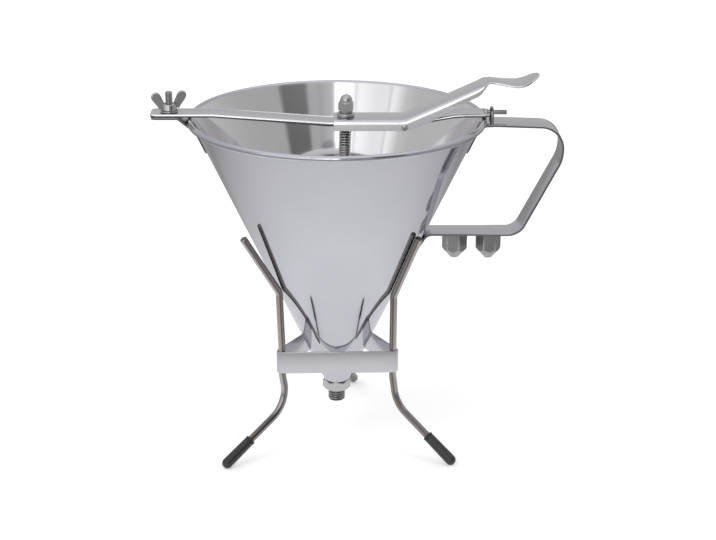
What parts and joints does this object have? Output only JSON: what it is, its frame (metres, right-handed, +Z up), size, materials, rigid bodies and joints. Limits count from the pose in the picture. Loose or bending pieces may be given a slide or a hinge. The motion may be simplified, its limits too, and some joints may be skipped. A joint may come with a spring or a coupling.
{
  "type": "batter dispenser funnel",
  "caption": "Conical steel batter dispenser in a wire stand, with a strap handle, a thumb lever that lifts a sprung valve rod, and screw-on nozzles stored on the handle.",
  "frame": {"origin": "centre of the outlet thread's lower end, on the funnel's axis", "axes": "+Z up along the funnel's axis, +X towards the handle and the thumb paddle, +Y away from the side that the front legs face"},
  "size_m": [0.2755, 0.2, 0.2642],
  "materials": {
    "stand_wire": "drawn stainless wire, satin",
    "foot_cap": "soft black vinyl, slightly glossy",
    "polished_steel": "mirror-polished stainless sheet, spun",
    "satin_steel": "bright stainless strip, satin",
    "turned_steel": "turned and polished stainless",
    "rod_steel": "turned stainless, satin",
    "spring_wire": "drawn spring wire"
  },
  "bodies": {
    "stand": {"leg_front_left": "stand_wire", "leg_front_right": "stand_wire", "leg_rear": "stand_wire", "stand_band": "stand_wire", "foot_cap_left": "foot_cap", "foot_cap_right": "foot_cap", "foot_cap_rear": "foot_cap"},
    "funnel": {"funnel_cone": "polished_steel", "outlet_fitting": "turned_steel", "clamp_bracket": "satin_steel", "clamp_stud": "rod_steel", "handle_strap": "satin_steel", "keeper_eye": "rod_steel", "nozzle_stud_a": "rod_steel", "nozzle_stud_b": "rod_steel", "crossbar": "satin_steel", "crossbar_pin": "rod_steel", "return_spring": "spring_wire"},
    "lever": {"lever": "satin_steel", "pivot_pin": "rod_steel"},
    "valve": {"valve_rod": "rod_steel", "valve_plug": "turned_steel", "spring_stop": "rod_steel", "lift_washer": "turned_steel", "lock_washer": "rod_steel", "cap_nut": "turned_steel"},
    "wing_washer": {"wing_washer": "turned_steel"},
    "wing_nut": {"wing_nut": "turned_steel"},
    "nozzle_a": {"nozzle_a": "turned_steel"},
    "nozzle_b": {"nozzle_b": "turned_steel"}
  },
  "joints": [
    {"name": "funnel_lift", "type": "slide", "parent": "stand", "child": "funnel", "axis": [0, 0, 1], "range_m": [0, 0.12]},
    {"name": "lever_pivot", "type": "hinge", "parent": "funnel", "child": "lever", "pos_m": [0.045, 0, 0.20206], "axis": [0, 1, 0], "range_deg": [0, 12]},
    {"name": "valve_lift", "type": "slide", "parent": "funnel", "child": "valve", "axis": [0.0315, 0, 0.9995], "range_m": [0, 0.01], "stiffness_N_per_m": 250, "springref_m": -0.012, "deforming": ["return_spring"]},
    {"name": "wing_nut_rise", "type": "slide", "parent": "funnel", "child": "wing_washer", "axis": [0, 0, 1], "range_m": [0, 0.0065]},
    {"name": "wing_nut_turn", "type": "hinge", "parent": "wing_washer", "child": "wing_nut", "pos_m": [-0.1117, 0, 0.21096], "axis": [0, 0, 1], "range_deg": [0, 2880]},
    {"name": "nozzle_a_turn", "type": "hinge", "parent": "funnel", "child": "nozzle_a", "pos_m": [0.0809, 0, 0.11516], "axis": [0, 0, 1], "continuous": true},
    {"name": "nozzle_b_turn", "type": "hinge", "parent": "funnel", "child": "nozzle_b", "pos_m": [0.104, 0, 0.11516], "axis": [0, 0, 1], "continuous": true}
  ],
  "couplings": [
    {"joint": "valve_lift", "follows": "lever_pivot", "m_per_rad": 0.0456},
    {"joint": "wing_nut_rise", "follows": "wing_nut_turn", "m_per_rad": 0.00012732}
  ]
}
